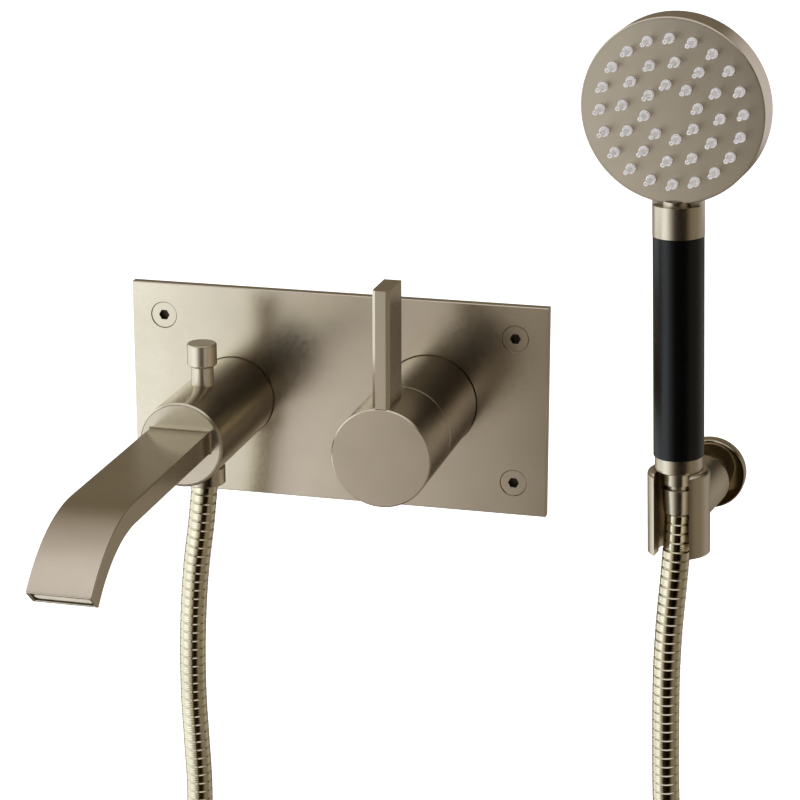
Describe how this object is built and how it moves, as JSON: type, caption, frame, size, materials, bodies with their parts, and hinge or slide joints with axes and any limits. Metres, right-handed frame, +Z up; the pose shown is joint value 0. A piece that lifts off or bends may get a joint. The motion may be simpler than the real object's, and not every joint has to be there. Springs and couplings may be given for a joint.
{
  "type": "wall mounted bath mixer",
  "caption": "Wall mounted bath mixer on a rectangular plate, with a flat bent spout, a pull-up diverter, a lever and a round hand shower on a metal hose in a wall cradle.",
  "frame": {"origin": "middle of the wall plate's back face, on the wall", "axes": "+X right along the wall, +Y into the wall, +Z up; the spout points along -Y"},
  "size_m": [0.3331, 0.2938, 0.7632],
  "materials": {
    "satin_bronze": "satin warm nickel bronze",
    "polished_bronze": "polished warm nickel bronze",
    "plain_brass": "machined",
    "stainless_steel": "plain",
    "black_grip": "soft satin black",
    "black_rubber": "matt",
    "inner_plastic": "moulded",
    "clear_silicone": "translucent"
  },
  "bodies": {
    "wall_set": {"wall_plate": "satin_bronze", "plate_screws": "satin_bronze", "plate_seal": "black_rubber", "concealed_body": "plain_brass", "gallery_plug": "plain_brass", "body_filters": "stainless_steel", "mixer_sleeve": "satin_bronze", "cartridge_body": "inner_plastic", "cartridge_seals": "black_rubber", "cartridge_nut": "plain_brass", "glide_ring": "inner_plastic", "spout_barrel": "satin_bronze", "spout_face": "satin_bronze", "spout_tube": "satin_bronze", "outlet_insert": "inner_plastic", "barrel_seal": "black_rubber", "diverter_seat": "plain_brass", "diverter_bonnet": "satin_bronze", "bonnet_seal": "black_rubber", "diverter_spring": "stainless_steel", "outlet_nipple": "satin_bronze", "lower_hose_nut": "satin_bronze", "lower_washer": "black_rubber", "lower_ferrule": "satin_bronze", "hose": "polished_bronze", "holder_cradle": "satin_bronze", "holder_rosette": "polished_bronze", "holder_bracket": "stainless_steel", "holder_ball_stud": "stainless_steel", "holder_wall_screws": "stainless_steel", "holder_grub_screw": "stainless_steel"},
    "mixer_handle": {"handle_body": "satin_bronze", "lever": "satin_bronze", "lever_screw": "stainless_steel", "handle_grub_screw": "stainless_steel", "cartridge_spindle": "plain_brass"},
    "diverter": {"diverter_knob": "satin_bronze", "diverter_rod": "stainless_steel", "diverter_plunger": "black_rubber"},
    "hose_end": {"upper_hose_nut": "satin_bronze", "upper_ferrule": "satin_bronze", "upper_washer": "black_rubber"},
    "hand_shower": {"tail_collar": "satin_bronze", "flow_limiter": "inner_plastic", "handle_core": "stainless_steel", "grip_sleeve": "black_grip", "head_shell": "satin_bronze", "spray_plate": "satin_bronze", "nozzle_mat": "clear_silicone", "head_seal": "black_rubber"}
  },
  "joints": [
    {"name": "mixer_turn", "type": "hinge", "parent": "wall_set", "child": "mixer_handle", "pos_m": [0.049, -0.08, 0.002], "axis": [0, -1, 0], "range_deg": [0, 100]},
    {"name": "diverter_pull", "type": "slide", "parent": "wall_set", "child": "diverter", "axis": [0, 0, 1], "range_m": [0, 0.008], "stiffness_N_per_m": 60, "springref_m": -0.01, "deforming": ["diverter_spring"]},
    {"name": "hand_lift", "type": "slide", "parent": "wall_set", "child": "hose_end", "axis": [-0.0328, 0.0046, 0.9995], "range_m": [0, 0.09]},
    {"name": "hand_turn", "type": "hinge", "parent": "hose_end", "child": "hand_shower", "pos_m": [0.18491, -0.05837, 0.00299], "axis": [-0.0328, 0.0046, 0.9995], "continuous": true}
  ]
}
